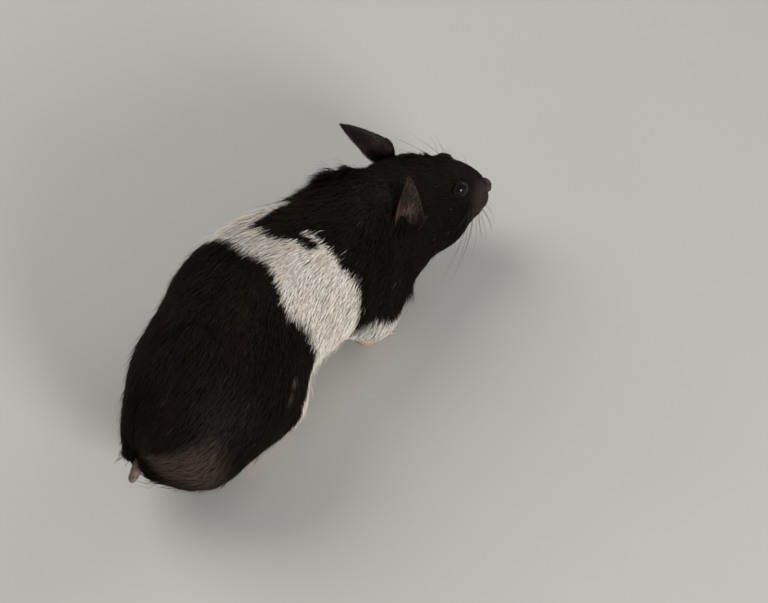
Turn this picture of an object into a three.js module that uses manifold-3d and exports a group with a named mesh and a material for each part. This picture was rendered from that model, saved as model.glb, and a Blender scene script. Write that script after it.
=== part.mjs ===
// Syrian hamster, black with a white band, life size, walking with its head turned to its right.
// Millimetres, +X forward, +Y to the animal's left, +Z up. The outside of every solid is the
// outline of the coat. The origin lies on the floor, below the middle of the animal.

import * as THREE from 'three';
import { LoftGeometry } from 'three/addons/geometries/LoftGeometry.js';
import { mergeVertices } from 'three/addons/utils/BufferGeometryUtils.js';
import Module from 'manifold-3d';

const wasm = await Module();
wasm.setup();

// ---------------------------------------------------------------- driving dimensions

const GAP = 0.3; // between neighbouring pieces
const ANKLE_HEIGHT = 5; // where feet end and legs begin
const SIDES = { left: 1, right: -1 };

// Each frame of the body: where it stands, its turn to the left and its nose-up tilt, in degrees.
const WORLD = {};
const PELVIS = { at: [-34, -3, 0], yaw: 9 };
const SHOULDERS = { at: [19, 0, 0], yaw: -6 };
const HEAD = { at: [49.5, 1.2, 32.5], yaw: -31, pitch: -7 }; // origin midway between the ears

// The masses of the body: centre, half sizes (forward, sideways, up), turn and tilt in their
// frame, and the width over which each blends into the rest.
const TRUNK_MASSES = {
  rump: { frame: PELVIS, at: [-9, 0, 23], size: [18.8, 17, 18], blend: 8 },
  hips: { frame: PELVIS, at: [1, -0.3, 26.5], size: [22, 18.9, 22.5], blend: 8 },
  buttockLeft: { frame: PELVIS, at: [-16.5, 5.2, 17.5], size: [9.2, 9.2, 11], blend: 6 },
  buttockRight: { frame: PELVIS, at: [-15, -5.2, 17.5], size: [9.2, 9.2, 11], blend: 6 },
  loin: { frame: WORLD, at: [-14, 5, 28], size: [23, 20.5, 20.5], yaw: 14, blend: 8 },
  ribs: { frame: WORLD, at: [3, 5.5, 28], size: [20, 20, 18.5], yaw: 5, blend: 8 },
  belly: { frame: WORLD, at: [-8, 4, 21], size: [30, 19, 15], yaw: 8, blend: 8 },
  chest: { frame: SHOULDERS, at: [-7, 1, 23], size: [24, 18, 17], blend: 8 },
  withers: { frame: SHOULDERS, at: [1, 1, 30], size: [19, 15, 15], blend: 8 },
};
const NECK_MASSES = {
  nape: { frame: WORLD, at: [33, 3.4, 29.4], size: [15, 12.2, 14.5], yaw: -20, blend: 7 },
  throat: { frame: WORLD, at: [37.5, -5, 20.5], size: [15, 13, 11], yaw: -20, blend: 8 },
};
const HEAD_MASSES = {
  cranium: { frame: HEAD, at: [2, 0, -7], size: [15, 12, 11.8], blend: 5 },
  face: { frame: HEAD, at: [13, 0, -6.5], size: [14, 9.2, 9.6], blend: 5 },
  jaw: { frame: HEAD, at: [14, 0, -13.5], size: [14, 9.8, 6.8], blend: 5 },
  muzzle: { frame: HEAD, at: [22.5, 0, -8.8], size: [8, 5.5, 5.8], blend: 4 },
  lipLeft: { frame: HEAD, at: [24, 2.6, -11], size: [5.5, 3.4, 3.8], blend: 3 },
  lipRight: { frame: HEAD, at: [24, -2.6, -11], size: [5.5, 3.4, 3.8], blend: 3 },
  cheekLeft: { frame: HEAD, at: [7, 8.6, -13], size: [13, 7.4, 8.8], blend: 5 },
  cheekRight: { frame: HEAD, at: [7, -8.6, -13], size: [13, 7.4, 8.8], blend: 5 },
};
const TRUNK_SPINE = [
  [PELVIS, -8, 1, 23], [PELVIS, 4, 0, 25], [WORLD, -10, 5, 25], [SHOULDERS, -7, 2, 25],
  [SHOULDERS, 11, 0, 25], [WORLD, 40, -2, 25],
];
const HEAD_SPINE = [[HEAD, -8, 0, -8], [HEAD, 8, 0, -8.5], [HEAD, 22, 0, -9.5]];
const TRUNK_MESH = { rings: 20, columns: 28, fan: 5 };
const HEAD_MESH = { rings: 11, columns: 26, fan: 5 };
const SHANK_MESH = { rings: 4, columns: 12, fan: 2 };
const FOOT_MESH = { rings: 5, columns: 9, fan: 2 };

// Legs, in the frame they hang from, for the left side: y points away from the body.
const LEGS = {
  hind: {
    frame: PELVIS, inner: 5, hip: [1, 8, 25], knee: [10, 11.5, 15], hock: [-2, 10, 5.5],
    thighRadii: [13.5, 9], shankRadii: [7.5, 4.2],
  },
  fore: {
    frame: SHOULDERS, inner: 4, hip: [8, 8, 21], knee: [2.5, 12, 12], hock: [2.5, 13, 5],
    thighRadii: [10.5, 8.8], shankRadii: [7.2, 4],
  },
};
const NECK_CUT = { frame: SHOULDERS, at: [9, 0, 25], yaw: -6 }; // planes that part the neck
const HEAD_CUT = { frame: HEAD, at: [-8, 0, -8], yaw: 12 };
const LEG_MARGIN = 3.5; // of the room a leg takes beyond its own masses
const LEG_OUTWARD = 6; // how far outward the room round its thigh lies
const FEET = {
  hind: { length: 17.5, width: 5.8, toes: 5, toeLength: 5.2, toeRadius: 1.05 },
  fore: { length: 9.5, width: 5, toes: 4, toeLength: 3.8, toeRadius: 0.9 },
};
const HEEL = { radius: 2.3, behind: 1 };
const ANKLE_RADIUS = 2.9;
const INSTEP = { share: 0.6, radius: 2.1, height: 0.9 }; // share of the sole's length ahead of the heel
const BALL = { radius: 1.7, share: 0.25 }; // share of the foot's width, to each side
const TOES = { roots: 0.36, tips: 0.56, setBack: 1.6, shorter: 0.18 }; // the outer two, at most

// How far each foot is ahead of its pair's middle, and its turn away from the body, in degrees.
const STANCE = {
  hind_left: { stride: 3, splay: 8 },
  hind_right: { stride: 0, splay: 6 },
  fore_left: { stride: 6, splay: 4 },
  fore_right: { stride: -1, splay: 6 },
};

const CLAW = { length: 2, radius: 0.45, taper: 0.8, straight: 0.6 };

const TAIL = { root: [-20, 3, 18.5], tip: [-28.3, 6.7, 11.5], radii: [3.2, 1.3] };

const EYE = { radius: 2.9, bulge: 1.2, behind: [15.5, 0, -4], looks: [0.25, 1, 0.45] };
const NOSE = { x: 29.6, z: -7.8, size: [2, 2.5, 1.8] };

// Each ear: its root in the head's frame, the way it points, and the way its hollow faces.
const EAR = { length: 17, width: 12, thickness: 1.1, sunk: 3, bentBack: 1.5 };
const EAR_CUP = { base: 1.9, tip: 1 }; // radians round the hollow, from edge to edge
const EAR_TIP = 0.17; // its half width there, as a share of the ear's
const EAR_MESH = { rows: 7, steps: 3 }; // steps across half the leaf
const EARS = {
  left: { root: [-1.2, 9.6, -1.5], points: [-10.6, 8.1, 10.3], faces: [7, 7, 1.5] },
  right: { root: [-5.5, -16.2, -3.3], points: [1.6, 2.6, 15], faces: [3, -9, 3.5] },
};

// ---------------------------------------------------------------- frames and fields

const vec = (x, y, z) => new THREE.Vector3(x, y, z);

/** The matrix of a frame turned by yaw, then tilted nose up by pitch, with its origin at `at`. */
function matrixOf({ at = [0, 0, 0], yaw = 0, pitch = 0 }) {
  const radians = THREE.MathUtils.degToRad;
  const turn = new THREE.Euler(0, -radians(pitch), radians(yaw), 'ZYX');
  return new THREE.Matrix4().makeRotationFromEuler(turn).setPosition(...at);
}

/** A point given in one of the body's frames. */
const pointIn = (frame, x, y, z) => vec(x, y, z).applyMatrix4(matrixOf(frame));

/** The plane across the body at a cut: the way it faces, and its distance from the origin. */
function planeOf({ frame, at, yaw }) {
  const matrix = matrixOf(frame).multiply(matrixOf({ at, yaw }));
  const facing = vec(1, 0, 0).transformDirection(matrix);
  return { facing, offset: facing.dot(vec(0, 0, 0).applyMatrix4(matrix)) };
}

/** Signed distance, nearly, to an ellipsoid. */
function ellipsoid(mass) {
  const inverse = matrixOf(mass.frame).multiply(matrixOf(mass)).invert();
  const [a, b, c] = mass.size;
  const local = vec();
  const distance = (point) => {
    local.copy(point).applyMatrix4(inverse);
    const near = Math.hypot(local.x / a, local.y / b, local.z / c);
    const slope = Math.hypot(local.x / (a * a), local.y / (b * b), local.z / (c * c));
    return slope < 1e-9 ? -Math.min(a, b, c) : (near * (near - 1)) / slope;
  };
  return { distance, blend: mass.blend };
}

/** Signed distance to a limb: a cone with round ends, between two points. */
function limb(start, end, [startRadius, endRadius], blend) {
  const axis = end.clone().sub(start);
  const offset = vec();
  const distance = (point) => {
    offset.copy(point).sub(start);
    const along = THREE.MathUtils.clamp(offset.dot(axis) / axis.lengthSq(), 0, 1);
    const radius = THREE.MathUtils.lerp(startRadius, endRadius, along);
    return offset.addScaledVector(axis, -along).length() - radius;
  };
  return { distance, blend };
}

/** One field of many masses: negative inside, and smooth where two masses meet. */
function blended(masses) {
  return (point) => {
    let value = 1e3;
    for (const { distance, blend } of masses) {
      const other = distance(point);
      const share = Math.max(blend - Math.abs(value - other), 0) / blend;
      value = Math.min(value, other) - (share * share * blend) / 4;
    }
    return value;
  };
}

const grown = (field, by) => (point) => field(point) - by;
const shared = (one, other) => (point) => Math.max(one(point), other(point));

// ---------------------------------------------------------------- solids

/** Distance from `origin` along `direction` to where a field turns positive. */
function reach(field, origin, direction) {
  const step = 0.5;
  const point = vec();
  const outsideAt = (length) => field(point.copy(origin).addScaledVector(direction, length)) > 0;
  let outer = step;
  while (!outsideAt(outer)) outer += step;
  let inner = outer - step;
  for (let halving = 0; halving < 12; halving += 1) {
    const middle = (inner + outer) / 2;
    if (outsideAt(middle)) outer = middle;
    else inner = middle;
  }
  return inner;
}

/**
 * Wraps a field with a loft around a spine. Rays fan out behind the spine's start, run square
 * to it along its length, and fan out again past its end, so both ends close as domes.
 */
function wrap(field, spine, { rings, columns, fan }) {
  const path = new THREE.CatmullRomCurve3(spine);
  const turns = [];
  const pole = 0.3; // of one step of the fan
  for (let i = 0; i < fan; i += 1) turns.push([0, ((i + pole) / (fan + pole)) * (Math.PI / 2)]);
  for (let i = 0; i <= rings; i += 1) turns.push([i / rings, Math.PI / 2]);
  for (let i = fan - 1; i >= 0; i -= 1) turns.push([1, Math.PI - turns[i][1]]);
  const sections = turns.map(([along, angle]) => {
    const origin = path.getPointAt(along);
    const ahead = path.getTangentAt(along);
    const upright = Math.abs(ahead.z) > 0.8;
    const side = (upright ? vec(0, 1, 0) : vec(0, 0, 1)).cross(ahead).normalize();
    const above = ahead.clone().cross(side);
    return Array.from({ length: columns }, (_, i) => {
      const around = (i / columns) * 2 * Math.PI;
      const direction = ahead.clone().multiplyScalar(-Math.cos(angle))
        .addScaledVector(side, Math.sin(angle) * Math.cos(around))
        .addScaledVector(above, Math.sin(angle) * Math.sin(around));
      return direction.multiplyScalar(reach(field, origin, direction)).add(origin);
    });
  });
  return new LoftGeometry(sections, { capStart: true, capEnd: true });
}

/** A profile turned round the line from `start` to `end`; each point is [radius, height]. */
function turned(profile, start, end, sides) {
  const axis = end.clone().sub(start).normalize();
  const outline = profile.map(([radius, height]) => new THREE.Vector2(radius, height));
  const geometry = new THREE.LatheGeometry(outline, sides);
  geometry.applyQuaternion(new THREE.Quaternion().setFromUnitVectors(vec(0, 1, 0), axis));
  return geometry.translate(...start.toArray());
}

/** A cone with round ends, between two points. */
function taper(start, end, [startRadius, endRadius], sides, steps) {
  const length = start.distanceTo(end);
  const angles = Array.from({ length: steps + 1 }, (_, i) => (i / steps) * (Math.PI / 2));
  const bottom = angles.map((a) => [startRadius * Math.sin(a), -startRadius * Math.cos(a)]);
  const top = angles.map((a) => [endRadius * Math.cos(a), length + endRadius * Math.sin(a)]);
  top[steps][0] = 0;
  return turned([...bottom, ...top], start, end, sides);
}

/** A closed geometry as a solid that can be joined and cut. */
function solid(geometry) {
  const plain = new THREE.BufferGeometry();
  plain.setAttribute('position', geometry.attributes.position);
  plain.setIndex(geometry.index);
  const merged = mergeVertices(plain, 1e-4);
  const corners = [];
  for (let i = 0; i < merged.index.count; i += 3) {
    const [a, b, c] = [0, 1, 2].map((corner) => merged.index.getX(i + corner));
    if (a !== b && b !== c && c !== a) corners.push(a, b, c);
  }
  return new wasm.Manifold(new wasm.Mesh({
    numProp: 3,
    vertProperties: new Float32Array(merged.attributes.position.array),
    triVerts: new Uint32Array(corners),
  }));
}

const above = (height, shape) => shape.trimByPlane([0, 0, 1], height);
const below = (height, shape) => shape.trimByPlane([0, 0, -1], -height);

// ---------------------------------------------------------------- flesh

const trunkMasses = Object.values(TRUNK_MASSES).map(ellipsoid);
const neckMasses = Object.values(NECK_MASSES).map(ellipsoid);
const headMasses = Object.values(HEAD_MASSES).map(ellipsoid);
const pointsOf = (spine) => spine.map(([frame, x, y, z]) => pointIn(frame, x, y, z));
const trunkSpine = pointsOf(TRUNK_SPINE);
const headSpine = pointsOf(HEAD_SPINE);

const group = new THREE.Group();

/** Adds a solid to the model as a named mesh. */
function addPart(name, shape, { color, roughness }) {
  const { vertProperties, triVerts } = shape.getMesh();
  const geometry = new THREE.BufferGeometry();
  geometry.setAttribute('position', new THREE.BufferAttribute(new Float32Array(vertProperties), 3));
  geometry.setIndex(new THREE.BufferAttribute(new Uint32Array(triVerts), 1));
  geometry.computeVertexNormals();
  const mesh = new THREE.Mesh(geometry, new THREE.MeshStandardMaterial({ color, roughness }));
  mesh.name = name;
  group.add(mesh);
}

const BLACK_FUR = { color: 0x1c1613, roughness: 0.85 };
const WHITE_FUR = { color: 0xcac2bb, roughness: 0.85 };
const PINK_SKIN = { color: 0xc79a8e, roughness: 0.6 };
const EAR_SKIN = { color: 0x4c3a36, roughness: 0.7 };
const EYE_GLOSS = { color: 0x050404, roughness: 0.08 };

/** One leg: the points it bends at, its masses, and the room it takes out of the trunk. */
function planLeg(end, side) {
  const { frame, inner, hip, knee, hock, thighRadii, shankRadii } = LEGS[end];
  const { stride, splay } = STANCE[`${end}_${side}`];
  const at = ([x, y, z], ahead) => pointIn(frame, x + ahead, y * SIDES[side], z);
  const [top, middle, bottom] = [at(hip, 0), at(knee, stride / 2), at(hock, stride)];
  const outward = pointIn(frame, 0, SIDES[side], 0).sub(pointIn(frame, 0, 0, 0));
  const midline = outward.dot(pointIn(frame, 0, 0, 0));
  const room = (margin) => {
    const wider = (radii) => radii.map((radius) => radius + margin);
    const shifted = [top, middle].map((point) => point.clone().addScaledVector(outward, LEG_OUTWARD));
    const thighRoom = solid(taper(...shifted, wider(thighRadii), 12, 3));
    const wholeRoom = thighRoom.add(solid(taper(middle, bottom, wider(shankRadii), 10, 2)));
    return wholeRoom.trimByPlane(outward.toArray(), midline + inner - margin);
  };
  return {
    name: `${end}_leg_${side}`,
    footName: `${end}_foot_${side}`,
    foot: FEET[end],
    forward: pointIn({ yaw: frame.yaw + splay * SIDES[side] }, 1, 0, 0),
    hock: bottom,
    thigh: limb(top, middle, thighRadii, 7),
    shank: limb(middle, bottom, shankRadii, 5),
    shankLine: [middle, bottom],
    room,
  };
}

/** A foot on the floor below its hock: heel, sole, toes with their claws, cut flat underneath. */
function makeFoot({ foot, forward, hock }) {
  const { length, width, toes, toeLength, toeRadius } = foot;
  const across = vec(0, 0, 1).cross(forward);
  const at = (ahead, sideways, height) => hock.clone().setZ(height)
    .addScaledVector(forward, ahead).addScaledVector(across, sideways);
  const soleLength = length - toeLength;
  const heel = at(-HEEL.behind, 0, toeRadius + 1);
  const ball = at(soleLength - 1, 0, toeRadius);
  const arch = at(soleLength / 2, 0, BALL.radius);
  const instep = at(soleLength * INSTEP.share, 0, toeRadius + INSTEP.height);
  const balls = [-BALL.share, BALL.share].map((share) => {
    const middle = ball.clone().addScaledVector(across, share * width);
    return limb(middle, arch, [BALL.radius, BALL.radius], 2);
  });
  const sole = blended([
    limb(heel, instep, [HEEL.radius, INSTEP.radius], 2),
    ...balls,
    limb(heel, at(0, 0, ANKLE_HEIGHT + 1), [HEEL.radius, ANKLE_RADIUS], 2),
  ]);
  let shape = solid(wrap(sole, [heel, arch, ball], FOOT_MESH));
  for (let toe = 0; toe < toes; toe += 1) {
    const spread = (toe / (toes - 1)) * 2 - 1;
    const outer = spread ** 2;
    const ahead = soleLength - toeRadius - TOES.setBack * outer;
    const reachOut = toeLength * (1 - TOES.shorter * outer);
    const root = at(ahead, spread * width * TOES.roots, toeRadius + 0.35);
    const tip = at(ahead + reachOut, spread * width * TOES.tips, toeRadius - 0.2);
    const toeEnd = root.distanceTo(tip);
    const profile = [
      [0, -toeRadius],
      [toeRadius * 1.15, 0],
      [toeRadius, toeEnd - CLAW.radius],
      [CLAW.radius, toeEnd],
      [CLAW.radius * CLAW.taper, toeEnd + CLAW.length * CLAW.straight],
      [0, toeEnd + CLAW.length],
    ];
    shape = shape.add(solid(turned(profile, root, tip, 5)));
  }
  return below(ANKLE_HEIGHT, above(0, shape));
}

/** The short tail. */
function makeTail() {
  const [root, tip] = [TAIL.root, TAIL.tip].map((point) => pointIn(PELVIS, ...point));
  return solid(taper(root, tip, TAIL.radii, 8, 2));
}

/** An ear: a leaf of even thickness, hollowed across its width and bent back to its tip. */
function makeEar({ root, points, faces }) {
  const along = vec(...points).transformDirection(matrixOf(HEAD));
  const front = vec(...faces).transformDirection(matrixOf(HEAD));
  front.addScaledVector(along, -along.dot(front)).normalize();
  const across = along.clone().cross(front);
  const start = pointIn(HEAD, ...root).addScaledVector(along, -EAR.sunk);
  const { rows, steps } = EAR_MESH;
  const sections = [];
  for (let row = 0; row <= rows; row += 1) {
    const t = row / rows;
    const rise = Math.max(t * (EAR.length + EAR.sunk) - EAR.sunk, 0) / EAR.length;
    const leaf = (1 - rise ** 1.8) ** 0.8; // widest where it leaves the head
    const halfWidth = (EAR.width / 2) * Math.max(EAR_TIP, leaf);
    const cup = THREE.MathUtils.lerp(EAR_CUP.base, EAR_CUP.tip, t);
    const radius = halfWidth / Math.sin(cup / 2);
    const middle = start.clone().addScaledVector(along, (EAR.length + EAR.sunk) * t)
      .addScaledVector(front, -EAR.bentBack * t * t);
    const edge = (angle, offset) => middle.clone()
      .addScaledVector(across, Math.sin(angle) * (radius + offset))
      .addScaledVector(front, radius - Math.cos(angle) * (radius + offset));
    const angles = Array.from({ length: 2 * steps + 1 }, (_, i) => (i / steps - 1) * (cup / 2));
    const back = angles.map((angle) => edge(angle, EAR.thickness / 2));
    const hollow = angles.map((angle) => edge(angle, -EAR.thickness / 2));
    sections.push([...back.reverse(), ...hollow]);
  }
  return solid(new LoftGeometry(sections, { capStart: true, capEnd: true }));
}

/** The middle of an eye: as deep below the face as leaves its bulge outside. */
function eyeCentre(sign) {
  const [x, y, z] = EYE.looks;
  const direction = vec(x, y * sign, z).transformDirection(matrixOf(HEAD));
  const origin = pointIn(HEAD, ...EYE.behind);
  const depth = reach(fleshField, origin, direction) - EYE.radius + EYE.bulge;
  return origin.addScaledVector(direction, depth);
}

/** The nose pad, grown by a margin. */
function makeNosePad(margin) {
  const sphere = new THREE.SphereGeometry(1, 8, 6);
  sphere.scale(...NOSE.size.map((size) => size + margin));
  sphere.applyMatrix4(matrixOf(HEAD).multiply(matrixOf({ at: [NOSE.x, 0, NOSE.z] })));
  return solid(sphere);
}

/** An eyeball, grown by a margin. */
function makeEye(side, margin) {
  const sphere = new THREE.SphereGeometry(EYE.radius + margin, 10, 7);
  return solid(sphere.translate(...eyeCentre(SIDES[side]).toArray()));
}

/** The largest of a shape's separate bodies. */
function largest(shape) {
  return shape.decompose().sort((one, other) => other.volume() - one.volume())[0];
}

const legs = Object.keys(LEGS).flatMap((end) => Object.keys(SIDES).map((side) => planLeg(end, side)));
const fleshMasses = [...trunkMasses, ...neckMasses, ...headMasses, ...legs.map((leg) => leg.thigh)];
const fleshField = blended(fleshMasses);
const trunkFlesh = solid(wrap(fleshField, trunkSpine, TRUNK_MESH));
const headFlesh = solid(wrap(fleshField, headSpine, HEAD_MESH));
const coatRoom = solid(wrap(grown(fleshField, GAP), trunkSpine, TRUNK_MESH))
  .add(solid(wrap(grown(fleshField, GAP), headSpine, HEAD_MESH)));

// The trunk, neck and head are parted by two planes.
const ahead = (cut, shape) => {
  const { facing, offset } = planeOf(cut);
  return shape.trimByPlane(facing.toArray(), offset + GAP / 2);
};
const behind = (cut, shape) => {
  const { facing, offset } = planeOf(cut);
  return shape.trimByPlane(facing.negate().toArray(), GAP / 2 - offset);
};

let body = trunkFlesh;
for (const leg of legs) {
  body = body.subtract(leg.room(LEG_MARGIN + GAP));
  const limit = grown(leg.shank.distance, LEG_MARGIN - 0.1);
  const shankField = shared(blended([...fleshMasses, leg.shank]), limit);
  const shank = solid(wrap(shankField, leg.shankLine, SHANK_MESH));
  const whole = trunkFlesh.add(shank).intersect(leg.room(LEG_MARGIN));
  addPart(leg.name, above(ANKLE_HEIGHT + GAP, whole), BLACK_FUR);
  addPart(leg.footName, makeFoot(leg), PINK_SKIN);
}
addPart('trunk', behind(NECK_CUT, body), BLACK_FUR);
addPart('neck', behind(HEAD_CUT, ahead(NECK_CUT, body)), BLACK_FUR);

addPart('tail', largest(makeTail().subtract(coatRoom)), WHITE_FUR);

let head = ahead(HEAD_CUT, headFlesh);
for (const leg of legs) head = head.subtract(leg.room(LEG_MARGIN + GAP));
for (const side of Object.keys(SIDES)) {
  head = head.subtract(makeEye(side, GAP));
  addPart(`eye_${side}`, makeEye(side, 0), EYE_GLOSS);
}
for (const side of Object.keys(EARS)) {
  addPart(`ear_${side}`, largest(makeEar(EARS[side]).subtract(coatRoom)), EAR_SKIN);
}
head = head.subtract(makeNosePad(GAP));
addPart('nose_pad', makeNosePad(0), PINK_SKIN);
addPart('head', largest(head), BLACK_FUR);

// The origin lies on the floor, below the middle of the animal.
const bounds = new THREE.Box3().setFromObject(group);
const middle = bounds.getCenter(vec());
group.position.set(-middle.x, -middle.y, -bounds.min.z);

export default group;
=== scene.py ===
"""A black-banded Syrian hamster: one skin, a coat of solid tufts, eyes, nose, claws and whiskers.

Lengths are in millimetres until a mesh is made, in the frame's axes: +X forward, +Y left, +Z up.
"""

import math

import bmesh
import bpy
import numpy as np
from mathutils import Matrix, Vector, noise
from mathutils.bvhtree import BVHTree


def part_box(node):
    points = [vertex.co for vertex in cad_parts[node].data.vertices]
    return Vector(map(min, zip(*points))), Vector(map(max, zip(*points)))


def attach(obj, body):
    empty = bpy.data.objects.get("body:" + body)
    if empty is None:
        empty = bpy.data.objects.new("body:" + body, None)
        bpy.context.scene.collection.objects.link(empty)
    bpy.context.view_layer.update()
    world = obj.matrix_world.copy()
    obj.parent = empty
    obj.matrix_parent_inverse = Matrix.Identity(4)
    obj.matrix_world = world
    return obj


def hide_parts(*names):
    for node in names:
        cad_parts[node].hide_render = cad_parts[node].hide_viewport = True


MM = 0.001
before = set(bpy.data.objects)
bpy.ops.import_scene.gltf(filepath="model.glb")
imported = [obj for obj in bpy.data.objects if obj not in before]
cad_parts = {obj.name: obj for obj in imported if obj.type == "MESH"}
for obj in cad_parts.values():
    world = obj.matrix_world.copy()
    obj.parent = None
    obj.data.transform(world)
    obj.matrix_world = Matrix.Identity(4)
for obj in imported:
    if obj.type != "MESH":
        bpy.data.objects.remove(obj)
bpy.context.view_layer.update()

SIDES = {"left": 1, "right": -1}
LEGS = [f"{end}_leg_{side}" for end in ("hind", "fore") for side in SIDES]
FEET = [f"{end}_foot_{side}" for end in ("hind", "fore") for side in SIDES]
FLESH = ["trunk", "neck", "head", *LEGS]

# -------- driving dimensions

# The body's line seen from above (x, y), and the height of the axis that girths turn round.
SPINE = np.array([(-66, -5), (-40, -4), (-20, 4), (-3, 4.6), (14, 0), (30, -1), (44, -1), (64, -14)], float)
AXIS_HEIGHT = 25

HEAD_AT = np.array([43.66, 0.3, 32.5])  # midway between the ears
HEAD_YAW = math.radians(-31)
HEAD_PITCH = math.radians(-7)

EYE_RADIUS = 2.9
EYE_LOOKS = (0.25, 1, 0.45)  # in the head's frame, for the left eye
LID_OPENING = math.radians(50)  # half angle of the eye that shows
LID_THICKNESS = 0.28

NOSE_AT = (29.6, 0, -7.8)  # in the head's frame
NOSE_SIZE = (2.1, 2.6, 1.9)

EAR_LENGTH = 17
EAR_WIDTH = 12
EAR_SUNK = 4  # of the leaf below the coat
EAR_THICKNESS = 0.65
EAR_CUP = (2.0, 1.0)  # radians round the hollow at its root and its tip
EAR_BENT_BACK = 1.5
EARS = {  # root, the way it points and the way its hollow faces, in the head's frame
    "left": ((-1.2, 9.6, -1.5), (-10.6, 8.1, 10.3), (7, 7, 1.5)),
    "right": ((-5.5, -16.2, -3.3), (1.6, 2.6, 15), (3, -9, 3.5)),
}
EAR_HOLLOW_REACH = 5.0  # of the dip in the coat before an ear
EAR_HOLLOW_DIP = 1.3
EAR_RIM_FROM = 4.5  # how far from its middle line an ear's hair grows thicker

TAIL_ROOT = np.array([-65.6, -3.9, 22.8])
TAIL_TIP = np.array([-69.2, -1.5, 11.5])
TAIL_RADII = (1.7, 0.9)

FOOT_YAW = {"hind_foot_left": 17, "hind_foot_right": 3, "fore_foot_left": -2, "fore_foot_right": -12}
TOES = {"hind": 5, "fore": 4}
CLAW_LENGTH = 2.0
CLAW_RADIUS = 0.42
TOE_WIDTH = 1.6
ANKLE_HEIGHT = 4.9
ANKLE_SUNK = 2.5  # of the foot's top into the leg

WHISKER_ROWS = 4
WHISKERS_IN_ROW = 5
WHISKER_RADIUS = 0.05
BROW_HAIRS = 2
BROW_HAIR_LENGTH = 8

GROWN = 0.3  # how far the solids swell, to close the gaps between them
FLESH_VOXEL = 0.75  # the remesh's grain where the solids are joined, on the skin and on a foot
SKIN_VOXEL = 0.65
FOOT_VOXEL = 0.28

# How high the coat stands above the skin.
BODY_COAT = 2.0
BELLY_COAT = 1.5
FACE_COAT = 0.3
EYE_COAT = 0.35

QUANTITY = 1.0  # the share of the coat's tufts that are made
TUFTS_IN_PIECE = 19000
TUFT_STEPS = 2  # joints along a tuft
STRAY_SHARE = 0.04  # of the tufts that stand out from the rest, and how much higher
STRAY_RISE = 1.6
LOWEST_HAIR = 0.02
CLOSE_SHADING = 0.75  # how far a tuft's shading follows the skin's
PATCH = 0.003  # a tuft's width on the bake's map
COAT_SEED = 100
FINE_HAIR_SEED = 200
WHISKER_SEED = 5
FINE_HAIR = {  # hairs to a square millimetre, their length and their width
    "ear": (4.5, 1.3, 0.16),
    "foot": (5.5, 1.0, 0.17),
    "tail": (5.0, 1.5, 0.2),
}

# Where the coat is ruffled: place, reach, and how much higher and longer the tufts are there.
RUFFLES = (
    ((24, 11, 41.5), 10, 1.9, 1.4),  # on the nape
    ((31, 10, 40), 8, 1.5, 1.0),
    ((49.5, 7, 37), 4, 1.6, 0.5),  # before the left ear
    ((56, -1, 34.5), 9, 0.9, 0.3),  # the crown
    ((-66, 3, 19), 8, 1.6, 2.5),  # beside the tail
    ((-66, -9, 16), 8, 1.4, 2.0),
    ((25.5, -19, 19), 4, 1.2, 1.0),  # the hem of the chest's fur, over the fore leg
)

# Where the white band ends: x at each angle round the body, in degrees (0 the back, 90 the left).
RUMP_EDGE = np.array([
    (-180, -44), (-135, -36), (-112, -27), (-102, -20), (-97, -15.7), (-88, -16.3), (-70, -17.5),
    (-54, -18.6), (-45, -21), (-38, -19.5), (-22, -17.4), (-12, -15.2), (-4, -15.1), (2, -17.3),
    (8, -16.7), (19, -15.3), (48, -15.6), (70, -17), (95, -17), (112, -25), (135, -36), (180, -44),
], float)
SHOULDER_EDGE = np.array([
    (-180, 20), (-140, 10), (-121, 1), (-102, 2.1), (-70, 2.9), (-60, 2.9), (-54, 1.3), (-47, 0.8),
    (-38, 1.4), (-30, 0.2), (-24, -2.4), (-19, -4.0), (-11, -4.4), (-3, -7.4), (10, -7.6), (21, -6.3),
    (25, 1.9), (30, 9), (38, 9), (60, 4), (100, 2.5), (121, 2), (140, 10), (180, 20),
], float)

# A white wisp that runs forward from the band: at each angle, its x and its half width.
WISP = np.array([(-33, -0.6, 1.6), (-27, 0.2, 0.9), (-21, 0.7, 0.75), (-15, 0.9, 0.7), (-9, 0, 0.4)], float)

MARKING_BLUR = 0.55  # how far single tufts carry a marking past its edge

# Thin grey streaks on the right thigh: place and reach.
GREY_STREAKS = (((-30.3, -23.3, 30.5), 2.2), ((-33.8, -24.4, 28), 2.0))

BLACK = np.array([0.0052, 0.0034, 0.0024])
BROWN = np.array([0.0185, 0.0122, 0.0078])
GREY = np.array([0.085, 0.066, 0.054])
WHITE = np.array([0.64, 0.595, 0.53])
PINK = np.array([0.46, 0.25, 0.20])
DUSKY = np.array([0.050, 0.031, 0.026])
HORN = np.array([0.50, 0.40, 0.33])
EAR_FLUSH = {"left": 0.09, "right": 0.16}  # how pink each ear's hollow is

# -------- vectors and curves


def unit(vectors):
    vectors = np.asarray(vectors, float)
    return vectors / np.maximum(np.linalg.norm(vectors, axis=-1, keepdims=True), 1e-9)


def flattened(vectors, normals):
    """Unit vectors along a surface, from its normals."""
    return unit(vectors - normals * np.sum(vectors * normals, axis=1, keepdims=True))


def circle(side, other, count):
    """Points round a circle of radius 1 that has these two axes."""
    turn = np.linspace(0, 2 * math.pi, count, endpoint=False)[:, None]
    return np.cos(turn) * side + np.sin(turn) * other


def smooth(low, high, value):
    """0 below low, 1 above high, and smooth between them."""
    t = np.clip((np.asarray(value, float) - low) / (high - low), 0, 1)
    return t * t * (3 - 2 * t)


def mix(one, other, share):
    share = np.asarray(share, float)[..., None]
    return np.asarray(one) * (1 - share) + np.asarray(other) * share


def wobble(points, size, seed=0):
    """Smooth noise between about -1 and 1, with bumps of about that size."""
    shift = Vector((17.3 * seed, 5.1 * seed, 9.7 * seed))
    return np.array([noise.noise(Vector(p) + shift) for p in np.asarray(points) / size])


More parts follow.
